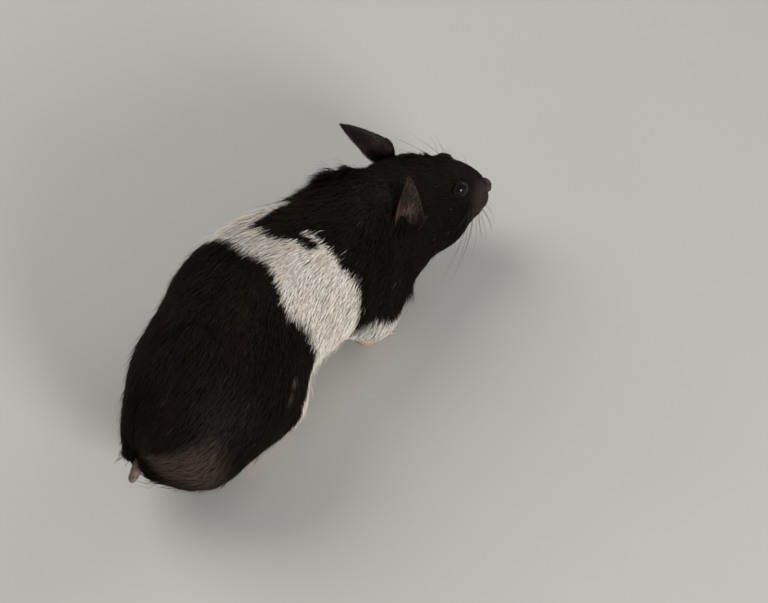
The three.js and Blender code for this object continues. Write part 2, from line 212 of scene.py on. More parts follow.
def cloudy(points, size, seed, middle=0.5, spread=1.0):
    """Smooth noise kept between 0 and 1."""
    return np.clip(middle + spread * wobble(points, size, seed), 0, 1)


def distance(points, place):
    return np.linalg.norm(points - np.asarray(place), axis=-1)


FORWARD = np.array([
    math.cos(HEAD_YAW) * math.cos(HEAD_PITCH),
    math.sin(HEAD_YAW) * math.cos(HEAD_PITCH),
    math.sin(HEAD_PITCH),
])
LEFT = np.array([-math.sin(HEAD_YAW), math.cos(HEAD_YAW), 0])
HEAD_AXES = np.array([FORWARD, LEFT, np.cross(FORWARD, LEFT)])


def in_head(points):
    """Points in the head's own frame: forward, left, up."""
    return (np.asarray(points) - HEAD_AT) @ HEAD_AXES.T


def from_head(points):
    return np.asarray(points, float) @ HEAD_AXES + HEAD_AT


def spine_y(x):
    return np.interp(x, SPINE[:, 0], SPINE[:, 1])


def girth(points):
    """The angle round the body's axis, in degrees: 0 along the back, 90 on the left side."""
    return np.degrees(np.arctan2(points[:, 1] - spine_y(points[:, 0]), points[:, 2] - AXIS_HEIGHT))


# -------- meshes


def make_mesh(name, points, faces):
    """A mesh from points in millimetres and equal-sided faces."""
    faces = np.asarray(faces, np.int32)
    sides = faces.shape[1]
    mesh = bpy.data.meshes.new(name)
    mesh.vertices.add(len(points))
    mesh.vertices.foreach_set("co", (np.asarray(points, np.float32) * MM).ravel())
    mesh.loops.add(faces.size)
    mesh.loops.foreach_set("vertex_index", faces.ravel())
    mesh.polygons.add(len(faces))
    mesh.polygons.foreach_set("loop_start", np.arange(0, faces.size, sides, dtype=np.int32))
    mesh.update(calc_edges=True)
    return mesh


def read(items, key, kind, width):
    """One value of every item of a mesh, as rows of so many numbers."""
    values = np.empty(len(items) * width, kind)
    items.foreach_get(key, values)
    return values.reshape(-1, width)


def places_of(mesh):
    """A mesh's points in millimetres."""
    return read(mesh.vertices, "co", np.float32, 3).astype(float) / MM


def arrays(mesh):
    """A mesh's points in millimetres, and its triangles."""
    mesh.calc_loop_triangles()
    return places_of(mesh), read(mesh.loop_triangles, "vertices", np.int32, 3)


def show(name, mesh, material, slot, *nodes):
    """Adds a mesh to the model as a piece that stands for some CAD nodes."""
    mesh.name = name
    mesh.materials.append(material)
    mesh.shade_smooth()
    obj = bpy.data.objects.new(name, mesh)
    bpy.context.scene.collection.objects.link(obj)
    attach(obj, "root")
    if nodes:
        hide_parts(*nodes)


def paint(mesh, name, values):
    """Stores a colour for each point of a mesh."""
    layer = mesh.color_attributes.new(name, "FLOAT_COLOR", "POINT")
    colours = np.ones((len(values), 4), np.float32)
    colours[:, :3] = values
    layer.data.foreach_set("color", colours.ravel())


def stamp(mesh, name, values):
    """Stores a number for each point of a mesh."""
    layer = mesh.attributes.new(name, "FLOAT", "POINT")
    layer.data.foreach_set("value", np.asarray(values, np.float32))


def joined(parts):
    """Several (points, triangles) as one."""
    points, faces, start = [], [], 0
    for part_points, part_faces in parts:
        points.append(part_points)
        faces.append(np.asarray(part_faces) + start)
        start += len(part_points)
    return np.concatenate(points), np.concatenate(faces)


def halved(faces):
    """Quads as triangles."""
    return np.concatenate([faces[:, [0, 1, 2]], faces[:, [0, 2, 3]]]) if faces.shape[1] == 4 else faces


def taken(bm):
    """A bmesh's points and triangles; frees it."""
    bmesh.ops.triangulate(bm, faces=bm.faces)
    bm.verts.index_update()
    points = np.array([v.co for v in bm.verts])
    faces = np.array([[v.index for v in f.verts] for f in bm.faces])
    bm.free()
    return points, faces


def ball(columns, rows):
    """The points and triangles of a ball of radius 1."""
    bm = bmesh.new()
    bmesh.ops.create_uvsphere(bm, u_segments=columns, v_segments=rows, radius=1)
    return taken(bm)


def normals_of(points, faces):
    """A unit normal at each point, weighted by the area of its faces."""
    across = points[faces[:, 2]] - points[faces[:, 0]]
    other = points[faces[:, -1]] - points[faces[:, 1]]
    face_normals = np.cross(across, other)
    total = np.zeros_like(points)
    for corner in range(faces.shape[1]):
        for k in range(3):
            total[:, k] += np.bincount(faces[:, corner], face_normals[:, k], len(points))
    return unit(total)


def remeshed(points, faces, voxel):
    """The outer surface of some overlapping solids, in even quads."""
    obj = bpy.data.objects.new("work", make_mesh("work", points, faces))
    bpy.context.scene.collection.objects.link(obj)
    modifier = obj.modifiers.new("voxels", "REMESH")
    modifier.mode = "VOXEL"
    modifier.voxel_size = voxel * MM
    graph = bpy.context.evaluated_depsgraph_get()
    mesh = bpy.data.meshes.new_from_object(obj.evaluated_get(graph))
    points = places_of(mesh)
    quads = read(mesh.loops, "vertex_index", np.int32, 1).reshape(-1, 4)
    work = obj.data
    bpy.data.objects.remove(obj)
    bpy.data.meshes.remove(work)
    bpy.data.meshes.remove(mesh)
    return points, quads


def relaxed(points, faces, steps, weight=1.0):
    """Smooths a surface without shrinking it. Weight, from 0 to 1, may differ from point to point."""
    pairs = np.concatenate([faces[:, [i, (i + 1) % faces.shape[1]]] for i in range(faces.shape[1])])
    pairs = np.unique(np.sort(pairs, axis=1), axis=0)
    count = np.bincount(pairs.ravel(), minlength=len(points))[:, None]
    weight = np.broadcast_to(np.asarray(weight, float), len(points))[:, None]
    for _ in range(steps):
        for factor in (0.5, -0.52):
            total = np.stack([
                np.bincount(pairs[:, 0], points[pairs[:, 1], k], len(points))
                + np.bincount(pairs[:, 1], points[pairs[:, 0], k], len(points))
                for k in range(3)
            ], axis=1)
            points = points + factor * weight * (total / count - points)
    return points


# -------- the skin

foot_middles = np.array([sum(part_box(foot), Vector()) / 2 / MM for foot in FEET])


def near(points, place, reach):
    """1 at a place, falling smoothly to 0 at its reach."""
    return smooth(reach, 0, distance(points, place))


def from_feet(points, axes=3):
    """Each point's distance to the middle of each foot; two axes leave heights out."""
    return np.linalg.norm(points[:, None, :axes] - foot_middles[None, :, :axes], axis=2)


def before_ears(points):
    """1 in front of each ear's hollow, where the coat dips so that the ear shows."""
    dip = np.zeros(len(points))
    for side in SIDES:
        root, along, front, across = ear_frame(side)
        dip = np.maximum(dip, near(points, root + 2.5 * front + 1.5 * along, EAR_HOLLOW_REACH))
    return dip


def beside_tail(points):
    """1 along the tail, where the coat is short so that the tail shows."""
    axis = TAIL_TIP - TAIL_ROOT
    share = np.clip((points - TAIL_ROOT) @ axis / (axis @ axis), 0, 1)
    nearest = TAIL_ROOT + share[:, None] * axis
    return smooth(4.5, 2.2, np.linalg.norm(points - nearest, axis=1))


def coat_depth(points):
    """How deep the skin lies below the coat's tips: least on the face and the feet."""
    f, l, u = in_head(points).T
    on_head = smooth(-12, -4, f)
    cheeks = smooth(-8, -15, u) * smooth(20, 8, f)
    head = FACE_COAT + 0.3 * smooth(24, 14, f) + 0.5 * smooth(14, -6, f) + 0.3 * cheeks
    body = BODY_COAT - (BODY_COAT - BELLY_COAT) * smooth(14, 6, points[:, 2])
    depth = body * (1 - on_head) + head * on_head
    depth = FACE_COAT + (depth - FACE_COAT) * smooth(6, 19, np.min(from_feet(points), axis=1))
    for eye in eye_centres.values():
        beside = smooth(11, 5, distance(points, eye))
        depth = depth * (1 - beside) + EYE_COAT * beside
    return depth + EAR_HOLLOW_DIP * before_ears(points)


def coat_height(points):
    """How high the coat's tips stand above the skin."""
    height = coat_depth(points) * (1 - 0.5 * before_ears(points))
    locks = np.clip(0.8 + 2.4 * wobble(points, 2.6, 21), 0, 2)
    for place, reach, higher, longer in RUFFLES:
        height = height + higher * near(points, place, reach) * locks
    return height * (1 - 0.6 * beside_tail(points))


def node_arrays(name, grown=0.0):
    """A CAD node's points and triangles, swollen along its normals."""
    points, faces = arrays(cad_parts[name].data)
    merged, index = np.unique(np.round(points, 4), axis=0, return_inverse=True)
    faces = index.ravel()[faces]
    return merged + grown * normals_of(merged, faces), faces


eye_centres = {side: np.array(sum(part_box(f"eye_{side}"), Vector()) / 2) / MM for side in SIDES}
eye_gazes = {side: unit(np.array(EYE_LOOKS) * (1, sign, 1)) @ HEAD_AXES for side, sign in SIDES.items()}


def refine(points, faces, centres, radius):
    """Divides the faces near some points more finely."""
    mesh = make_mesh("work", points, faces)
    bm = bmesh.new()
    bm.from_mesh(mesh)
    bpy.data.meshes.remove(mesh)
    centres = [Vector(c) * MM for c in centres]
    edges = [e for e in bm.edges if any((e.verts[0].co - c).length < radius * MM for c in centres)]
    bmesh.ops.subdivide_edges(bm, edges=edges, cuts=1, use_grid_fill=True, smooth=0.6)
    points, faces = taken(bm)
    return points / MM, faces


def with_lids(points):
    """Folds the skin round each eye into two lids with a thin rim."""
    rim = EYE_RADIUS + LID_THICKNESS
    for side, centre in eye_centres.items():
        gaze = eye_gazes[side]
        offset = points - centre
        apart = np.linalg.norm(offset, axis=1)
        close = apart < 9
        away = offset[close] / apart[close, None]
        angle = np.arccos(np.clip(away @ gaze, -1, 1))
        along = unit(FORWARD - gaze * (FORWARD @ gaze))
        corner = np.abs(unit(away - gaze * (away @ gaze)[:, None]) @ along)
        past = angle - LID_OPENING * (0.93 + 0.13 * corner ** 3)
        radius = np.where(past < 0, EYE_RADIUS - 0.35, rim - 0.1 * smooth(0.1, 0.3, past))
        radius = np.where((past >= 0) & (past < 0.06), rim - 0.12, radius)
        free = smooth(0.28, 0.75, past)
        fold = -0.22 * np.exp(-(((past - 0.38) / 0.09) ** 2))
        wanted = radius * (1 - free) + apart[close] * free + fold
        points[close] = centre + away * wanted[:, None]
    return points


def with_mouth(points, normals):
    """Cuts the cleft of the upper lip and the line of the mouth."""
    f, l, u = in_head(points).T
    cleft = smooth(24, 27, f) * smooth(-8.5, -10, u) * smooth(-14.5, -13.5, u) * np.exp(-((l / 0.45) ** 2))
    line = smooth(17, 21, f) * np.exp(-(((u + 13.1 - 0.04 * l * l) / 0.4) ** 2))
    line = line * smooth(-0.2, 0.4, normals @ FORWARD + 0.5)
    return points - normals * (0.7 * cleft + 0.55 * line)[:, None]


def make_body():
    """Trunk, neck, head and legs: the coat's outline, smoothed and drawn in by the coat's depth."""
    nodes = [*FLESH, "eye_left", "eye_right", "nose_pad"]
    solids = joined([node_arrays(name, GROWN) for name in nodes])
    points, faces = remeshed(*solids, FLESH_VOXEL)
    points = relaxed(points, faces, 40, gentle_face(points, 0.75))
    normals = normals_of(points, faces)
    points = points - normals * (coat_depth(points) + GROWN)[:, None]
    points, faces = remeshed(points, faces, SKIN_VOXEL)
    points = relaxed(points, faces, 8, gentle_face(points, 0.6))
    points, faces = refine(points, faces, [*eye_centres.values(), from_head((25, 0, -10))], 8.5)
    points = with_lids(points)
    return with_mouth(points, normals_of(points, faces)), faces


def gentle_face(points, less):
    """How strongly to smooth each point: less on the face."""
    return 1 - less * smooth(8, 16, in_head(points)[:, 0])


def tube(start, end, radii, sides=16, rings=10, rounded=0.15):
    """A taper, rounded over the last share of its length, as points and triangles."""
    axis = unit(end - start)
    side = unit(np.cross(axis, (0, 0, 1)))
    other = np.cross(axis, side)
    length = np.linalg.norm(end - start)
    outline = circle(side, other, sides)
    rows = []
    for ring in range(rings + 1):
        t = ring / rings
        bevel = math.sqrt(max(1 - (max(t - 1 + rounded, 0) / rounded) ** 2, 0.001))
        rows.append(start + axis * length * t + (radii[0] * (1 - t) + radii[1] * t) * bevel * outline)
    return closed(np.concatenate(rows), rings + 1, sides)


def closed(points, rows, columns):
    """A tube of points, row by row, as a solid with closed ends and its faces pointing out."""
    faces = list(lattice(rows, columns))
    for first, middle in ((0, len(points)), (columns * (rows - 1), len(points) + 1)):
        faces += [(first + (k + 1) % columns, first + k, middle) for k in range(columns)]
    points = np.concatenate([points, [points[:columns].mean(0), points[-columns:].mean(0)]])
    faces = np.array(faces)
    faces[-columns:] = faces[-columns:, ::-1]
    return points, outward(points, faces)


def outward(points, faces):
    """A solid's triangles, turned over if they point in."""
    a, b, c = (points[faces[:, k]] for k in range(3))
    volume = np.sum(a * np.cross(b, c))
    return faces if volume > 0 else faces[:, ::-1]


def lattice(rows, columns):
    """Triangles over rings of points, ring by ring."""
    triangles = []
    for row in range(rows - 1):
        for column in range(columns):
            a = row * columns + column
            b = row * columns + (column + 1) % columns
            triangles += [(a, b, a + columns), (b, b + columns, a + columns)]
    return np.array(triangles)


def ear_frame(side):
    """An ear's root, the way it points, the way its hollow faces, and the way across it."""
    root, points, faces = EARS[side]
    along = unit(points) @ HEAD_AXES
    front = unit(faces) @ HEAD_AXES
    front = unit(front - along * (along @ front))
    return from_head(root), along, front, np.cross(along, front)


def on_ear(side, points):
    """How far points lie along an ear from its root, and across it from its middle line."""
    root, along, front, across = ear_frame(side)
    return (points - root) @ along, (points - root) @ across


def make_ear(side):
    """A thin leaf, hollowed, with a rolled rim and low folds at the bottom of its hollow."""
    root, along, front, across = ear_frame(side)
    rows, columns = 44, 26
    loop = np.linspace(-1, 1, columns)
    rounded = np.sqrt(np.clip(1.03 - loop ** 2, 0, 1))
    ridges = 0.75 * np.exp(-(((loop - 0.38) / 0.13) ** 2)) + 0.6 * np.exp(-(((loop + 0.42) / 0.12) ** 2))
    points = []
    for height in np.linspace(-EAR_SUNK, EAR_LENGTH, rows + 1):
        t = max(height, 0) / EAR_LENGTH
        narrowed = 0.5 + 0.5 * float(smooth(-4, 3.5, height))
        half = (EAR_WIDTH / 2) * max(0.04, (1 - t ** 1.8) ** 0.8) * narrowed
        cup = EAR_CUP[0] + (EAR_CUP[1] - EAR_CUP[0]) * t
        radius = half / math.sin(cup / 2)
        middle = root + along * height - front * EAR_BENT_BACK * t * t
        thick = EAR_THICKNESS * (1.15 - 0.4 * t) * rounded
        folds = ridges * float(smooth(0.62, 0.12, t)) + 0.1 * np.sin(loop * 8 + 4 * t)
        rim = 0.5 * smooth(0.8, 1, np.abs(loop)) * (1 - t)
        angles = loop * cup / 2
        for back, angle in ((True, angles[::-1]), (False, angles)):
            reach = radius + thick / 2 - rim if back else radius - thick / 2 - rim - folds
            sideways = np.outer(np.sin(angle) * reach, across)
            points.append(middle + sideways + np.outer(radius - np.cos(angle) * reach, front))
    return closed(np.concatenate(points), rows + 1, columns * 2)


def toe_tips(foot):
    """The tip of each claw of a foot, and the way the foot points."""
    points, _ = arrays(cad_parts[foot].data)
    yaw = math.radians(FOOT_YAW[foot])
    ahead = np.array([math.cos(yaw), math.sin(yaw), 0])
    sideways = np.array([-math.sin(yaw), math.cos(yaw), 0])
    tips = []
    for point in points[np.argsort(-points @ ahead)]:
        if all(abs((point - tip) @ sideways) > 1 for tip in tips):
            tips.append(point)
        if len(tips) == TOES[foot[:4]]:
            break
    return tips, ahead, sideways


def make_foot(foot):
    """A foot of the CAD model, its toes rounded off short of the claws."""
    points, faces = node_arrays(foot)
    tips, ahead, sideways = toe_tips(foot)
    for tip in tips:
        same = np.abs((points - tip) @ sideways) < TOE_WIDTH / 2
        over = np.maximum((points - tip) @ ahead + CLAW_LENGTH - 0.1, 0) * same
        points = points - over[:, None] * ahead
    points[points[:, 2] > ANKLE_HEIGHT] += (0, 0, ANKLE_SUNK)
    points, faces = remeshed(points, faces, FOOT_VOXEL)
    points = relaxed(points, faces, 10, 0.9)
    points[:, 2] = np.maximum(points[:, 2], 0.0)
    return points, faces


# -------- markings


def white_share(points):
    """How white the coat is at each point: 1 in the band and on the belly, 0 elsewhere."""
    x = points[:, 0] + 1.1 * wobble(points, 5, 1) + 0.6 * wobble(points, 1.6, 2)
    angle = girth(points) + 2.5 * wobble(points, 4, 3)
    behind = np.interp(angle, RUMP_EDGE[:, 0], RUMP_EDGE[:, 1])
    ahead = np.interp(angle, SHOULDER_EDGE[:, 0], SHOULDER_EDGE[:, 1])
    return smooth(-0.7, 0.7, x - behind) * smooth(0.7, -0.7, x - ahead)


def coat_colour(points, streak=0.0):
    """The colour of the coat at each point; streak carries a marking's edge along the hair."""
    streak = np.asarray(streak)
    white = white_share(points + streak[..., None] * np.array([1.0, 0, 0]))
    x, height = points[:, 0], points[:, 2]
    angle = girth(points)
    aside = np.abs(x + 0.4 * streak - np.interp(angle, WISP[:, 0], WISP[:, 1]))
    half = np.interp(angle, WISP[:, 0], WISP[:, 2])
    in_reach = (angle > WISP[0, 0]) & (angle < WISP[-1, 0]) & (height > AXIS_HEIGHT)
    white = np.maximum(white, smooth(0.3, -0.3, aside - half) * in_reach)
    nape = smooth(-9, -5, x) * smooth(14, 4, x) * smooth(-8, 4, angle) * smooth(40, 28, angle)
    brown = 0.24 + 0.28 * wobble(points, 12, 4) + 0.2 * wobble(points, 2.5, 5)
    # Painted sheen and shade: the black coat is browner high on the back and on the left side, where the
    # key light gives it a sheen, and darker and less brown on the right flank and low down.
    lit = smooth(-70, 0, angle) * smooth(12, 30, height)
    colour = mix(BLACK, BROWN, np.clip(brown * (0.25 + 1.1 * lit) + 0.3 * nape, 0, 1))
    for place, reach in GREY_STREAKS:
        uneven = near(points, place, reach) + 0.4 * wobble(points, 0.9, 22)
        colour = mix(colour, GREY, 0.8 * smooth(0.2, 0.6, uneven))
    low_rump = smooth(-53, -62, x) * smooth(-48, -80, angle) * smooth(-150, -105, angle)
    colour = mix(colour, GREY * (1.0, 0.93, 0.88), 0.55 * low_rump)
    warm = mix(WHITE, WHITE * (0.94, 0.9, 0.86), cloudy(points, 6, 6))
    colour = mix(colour, warm, white)
    f, l, u = in_head(points).T
    lips = smooth(19.5, 25.5, f) * smooth(1.5, 3.0, np.abs(l)) * smooth(0, -5, u)
    colour = mix(colour, GREY, 0.5 * lips)
    reach = from_feet(points)
    rough = 1.2 * wobble(points, 2.5, 15)
    hem = np.interp(x, (8, 14), (16.5, 12.5))
    near_fore = smooth(19, 14, np.min(reach[:, 2:], axis=1)) * smooth(1, -1.2, height - hem + 1.5 * rough)
    near_hind = smooth(14, 8, np.min(reach[:, :2], axis=1)) * smooth(9, 6, height + rough)
    return mix(colour, WHITE * 0.85, np.maximum(near_fore, near_hind) * 0.9)


def bare_colour(points, region):
    """The colour of bare skin on a foot, an ear or the tail."""
    shade = cloudy(points, 1.6, 7)
    if region == "tail":
        return mix(PINK * 0.75, PINK * 0.5, shade)
    if region == "foot":
        return mix(PINK, PINK * (0.8, 0.72, 0.7), shade)
    upward, sideways = on_ear(region, points)
    rise, aside = upward / EAR_LENGTH, sideways / (EAR_WIDTH / 2)
    centre = smooth(0.6, 0.25, rise) * smooth(0.9, 0.3, np.abs(aside)) * smooth(-0.08, 0.2, rise)
    flush = PINK * EAR_FLUSH[region]
    colour = mix(DUSKY * 0.25, flush, (0.1 + 0.8 * centre) * (0.7 + 0.6 * shade))
    colour = mix(colour, DUSKY * 0.2, 0.6 * smooth(0.3, 0.8, aside))
    # Painted highlight: the rear rim of the right ear, where it catches the light, is paler pink.
    rim = smooth(-0.5, -0.85, aside) * smooth(0.85, 0.6, rise) * (region == "right")
    colour = mix(colour, PINK * 0.4, 0.6 * rim)
    return mix(BLACK, colour, smooth(0.05, 0.4, rise))


# -------- materials


def nodes_of(name):
    material = bpy.data.materials.new(name)
    material.use_nodes = True
    tree = material.node_tree
    return material, tree, tree.nodes["Principled BSDF"]


def add(tree, kind, **values):
    node = tree.nodes.new(kind)
    for key, value in values.items():
        if key in node.inputs:
            node.inputs[key].default_value = value
        else:
            setattr(node, key, value)
    return node


def bump(tree, shader, height, strength, distance):
    node = add(tree, "ShaderNodeBump", Strength=strength, Distance=distance)
    tree.links.new(height, node.inputs["Height"])
    tree.links.new(node.outputs["Normal"], shader.inputs["Normal"])


def attribute(tree, name, output):
    return add(tree, "ShaderNodeAttribute", attribute_name=name).outputs[output]


def texture(tree, kind, stretch=(1.0, 1.0, 1.0), **values):
    """A texture that is fixed to the mesh, finer along the axes that are stretched."""
    place = add(tree, "ShaderNodeTexCoord")
    mapping = add(tree, "ShaderNodeMapping", Scale=stretch)
    node = add(tree, kind, **values)
    tree.links.new(place.outputs["Object"], mapping.inputs["Vector"])
    tree.links.new(mapping.outputs["Vector"], node.inputs["Vector"])
    return node


def ranged(tree, value, low, high):
    """A value from 0 to 1, moved to another range."""
    node = add(tree, "ShaderNodeMapRange")
    node.inputs["To Min"].default_value = low
    node.inputs["To Max"].default_value = high
    tree.links.new(value, node.inputs["Value"])
    return node.outputs["Result"]


def ramp(tree, value, colours, positions):
    """A value from 0 to 1, as a colour between two."""
    node = add(tree, "ShaderNodeValToRGB")
    for element, colour, position in zip(node.color_ramp.elements, colours, positions):
        element.color = (*colour, 1)
        element.position = position
    tree.links.new(value, node.inputs["Fac"])
    return node.outputs["Color"]


def fur_material():
    """Tufts: the colour painted on them, with fine streaks and a dull shine."""
    material, tree, shader = nodes_of("fur")
    streaks = texture(tree, "ShaderNodeTexNoise", Scale=2600.0, Detail=2.0, Roughness=0.6)
    shaded = add(tree, "ShaderNodeVectorMath", operation="SCALE")
    tree.links.new(attribute(tree, "coat", "Color"), shaded.inputs[0])
    tree.links.new(ranged(tree, streaks.outputs["Fac"], 0.85, 1.15), shaded.inputs["Scale"])
    tree.links.new(shaded.outputs["Vector"], shader.inputs["Base Color"])
    shader.inputs["Roughness"].default_value = 0.55
    shader.inputs["Specular IOR Level"].default_value = 0.05
    return material


def skin_material():
    """Skin: painted colour, hair-fine bump where it is covered, and fine creases where it is bare."""
    material, tree, shader = nodes_of("skin")
    tree.links.new(attribute(tree, "coat", "Color"), shader.inputs["Base Color"])
    hairs = texture(
        tree, "ShaderNodeTexNoise", (1.0, 5.0, 5.0), Scale=700.0, Detail=3.0, Roughness=0.6,
    )
    creases = texture(tree, "ShaderNodeTexVoronoi", Scale=2200.0)
    bare = attribute(tree, "bare", "Fac")
    height = add(tree, "ShaderNodeMix", data_type="FLOAT")
    for number, value in enumerate((bare, None, hairs.outputs["Fac"], creases.outputs["Distance"])):
        if value:
            tree.links.new(value, height.inputs[number])
    bump(tree, shader, height.outputs[0], 0.5, 0.00025)
    tree.links.new(ranged(tree, bare, 0.7, 0.48), shader.inputs["Roughness"])
    shader.inputs["Specular IOR Level"].default_value = 0.12
    return material


def eye_material():
    """Eyes: glossy, black to dark brown."""
    material, tree, shader = nodes_of("eye")
    fibres = texture(tree, "ShaderNodeTexNoise", Scale=900.0, Detail=3.0)
    colour = ramp(tree, fibres.outputs["Fac"], ((0.002, 0.0015, 0.0015), (0.010, 0.006, 0.005)), (0, 1))
    tree.links.new(colour, shader.inputs["Base Color"])
    shader.inputs["Roughness"].default_value = 0.05
    shader.inputs["IOR"].default_value = 1.38
    shader.inputs["Specular IOR Level"].default_value = 0.22
    return material


def plain_material(name, colours, scale, roughness, strength):
    """A surface whose colour wanders between two, with a fine bump."""
    material, tree, shader = nodes_of(name)
    grain = texture(tree, "ShaderNodeTexNoise", Scale=scale, Detail=4.0).outputs["Fac"]
    tree.links.new(ramp(tree, grain, colours, (0.35, 0.65)), shader.inputs["Base Color"])
    shader.inputs["Roughness"].default_value = roughness
    bump(tree, shader, grain, strength, 0.0002)
    return material


FUR = fur_material()
SKIN = skin_material()
EYE = eye_material()
NOSE_SKIN = plain_material("nose_skin", (DUSKY * 0.35, DUSKY * 0.7), 2500.0, 0.5, 0.6)
NOSE_SKIN.node_tree.nodes["Principled BSDF"].inputs["Specular IOR Level"].default_value = 0.25
CLAW_HORN = plain_material("claw_horn", (HORN, HORN * 0.75), 900.0, 0.3, 0.2)
WHISKER = plain_material("whisker", (BLACK * 3, GREY), 60.0, 0.4, 0.1)
FLOOR = plain_material("floor", ((0.50, 0.49, 0.455), (0.48, 0.47, 0.435)), 6.0, 0.85, 0.05)

# -------- coat


def surface_of(points, faces):
    return BVHTree.FromPolygons([tuple(p) for p in points], [tuple(map(int, f)) for f in faces])


def scatter(points, faces, density, generator):
    """Roots spread evenly over a surface, so many to a square millimetre: places and normals."""
    faces = halved(faces)
    a, b, c = (points[faces[:, k]] for k in range(3))
    cross = np.cross(b - a, c - a)
    area = np.linalg.norm(cross, axis=1) / 2
    share = np.cumsum(area * density((a + b + c) / 3))
    count = int(share[-1])
    picked = np.searchsorted(share, np.arange(count) + generator.random(count))
    picked = np.minimum(picked, len(faces) - 1)
    u, v = generator.random((2, count, 1))
    over = u + v > 1
    u, v = np.where(over, 1 - u, u), np.where(over, 1 - v, v)
    places = a[picked] + u * (b - a)[picked] + v * (c - a)[picked]
    normals = normals_of(points, faces)
    corners = faces[picked]
    blend = normals[corners[:, 0]] * (1 - u - v) + normals[corners[:, 1]] * u + normals[corners[:, 2]] * v
    return places, unit(blend)


def follow(tree, places):
    """The nearest point of a surface to each place, and the normal there."""
    found = [tree.find_nearest(Vector(p)) for p in places]
    return np.array([f[0] for f in found]), np.array([f[1] for f in found])


def turned(vectors, axes, angles):
    """Vectors turned about unit axes."""
    c, s = np.cos(angles)[:, None], np.sin(angles)[:, None]
    return vectors * c + np.cross(axes, vectors) * s


def grow(tree, places, normals, lie, length, height, steps):
    """Each tuft's spine, which follows the skin and rises from it, and the skin's normals below it."""
    rises = np.sin(np.linspace(0, 1, steps + 1) * math.pi / 2) ** 0.9
    spine = [places - 0.15 * normals]
    below = [normals]
    base, normal, direction = places, normals, lie
    for step in range(1, steps + 1):
        base, fresh = follow(tree, base + direction * (length / steps)[:, None])
        normal = unit(0.55 * normal + 0.45 * fresh)
        direction = flattened(direction, normal)
        spine.append(base + normal * (height * rises[step])[:, None])
        below.append(normal)
    return np.array(spine), np.array(below)


def tuft_mesh(name, spine, below, width, colours, places_uv):
    """Tufts as closed three-sided blades that taper to a point, with the bake's map.

    Their shading leans towards the skin below them, as hair's does where it lies close.
    """
    steps, count = len(spine) - 1, spine.shape[1]
    taper = np.interp(np.arange(steps) / steps, (0, 0.35, 0.7), (0.8, 1.0, 0.6))
    rings, facing = [], []
    for ring in range(steps):
        ahead = unit(spine[ring + 1] - spine[ring])
        side = unit(np.cross(ahead, below[0]))
        up = np.cross(side, ahead)
        half = (width * taper[ring] / 2)[:, None]
        rings += [spine[ring] - side * half, spine[ring] + up * half * 0.7, spine[ring] + side * half]
        facing += [unit(mix(way, below[ring], CLOSE_SHADING)) for way in (-side, up, side)]
    points = np.stack([*rings, spine[-1]], axis=1)
    points[:, :, 2] = np.maximum(points[:, :, 2], LOWEST_HAIR)
    facing = np.stack([*facing, unit(mix(up, below[-1], CLOSE_SHADING))], axis=1)
    each = 3 * steps + 1
    pattern = [(0, 2, 1)]
    for ring in range(steps - 1):
        for k in range(3):
            a, b = 3 * ring + k, 3 * ring + (k + 1) % 3
            pattern += [(a, b, a + 3), (b, b + 3, a + 3)]
    last = 3 * (steps - 1)
    pattern += [(last + k, last + (k + 1) % 3, each - 1) for k in range(3)]
    faces = (np.arange(count)[:, None, None] * each + np.array(pattern)[None]).reshape(-1, 3)
    mesh = make_mesh(name, points.reshape(-1, 3), faces)
    layer = mesh.attributes.new("custom_normal", "FLOAT_VECTOR", "POINT")
    layer.data.foreach_set("vector", facing.astype(np.float32).ravel())
    along = np.concatenate([np.repeat(np.arange(steps), 3), [steps]]) / steps
    # Painted shade: each tuft is darker at its root, down among the other tufts, and a little lighter at
    # its tip.
    root_shade = np.interp(along, (0, 0.5, 1), (0.8, 1.0, 1.08))
    shades = np.clip(colours[:, None] * root_shade[None, :, None], 0, 1)
    paint(mesh, "coat", shades.reshape(-1, 3))
    patch = np.stack([along - 0.5, np.concatenate([np.tile([-0.5, 0, 0.5], steps), [0]])], axis=1) * PATCH
    corner = places_uv[:, None] + patch[None]
    layer = mesh.uv_layers.new(name="OFBake")
    layer.data.foreach_set("uv", corner.reshape(-1, 2)[faces.ravel()].astype(np.float32).ravel())
    return mesh


def body_lie(points, normals):
    """The way the coat lies on the body: from nose to rump, down the flanks and legs, round to the tail."""
    ahead = np.gradient(SPINE[:, 1], SPINE[:, 0])
    slope = np.interp(points[:, 0], SPINE[:, 0], ahead)
    back = unit(np.stack([-np.ones(len(points)), -slope, np.zeros(len(points))], axis=1))
    f = in_head(points)[:, 0]
    back = unit(mix(back, -FORWARD, smooth(-14, -2, f)))
    reach = np.min(from_feet(points, 2), axis=1)
    leg = smooth(15, 8, reach) * smooth(30, 12, points[:, 2])
    side = np.sqrt(np.clip(1 - normals[:, 2] ** 2, 0, 1))
    down = 0.28 * side * smooth(6, -4, f) + 1.3 * leg * side
    lie = back + down[:, None] * (0, 0, -1.0)
    to_tail = unit(TAIL_ROOT - points)
    rear = smooth(-50, -64, points[:, 0])
    lie = lie * (1 - rear)[:, None] + to_tail * rear[:, None]
    return lie


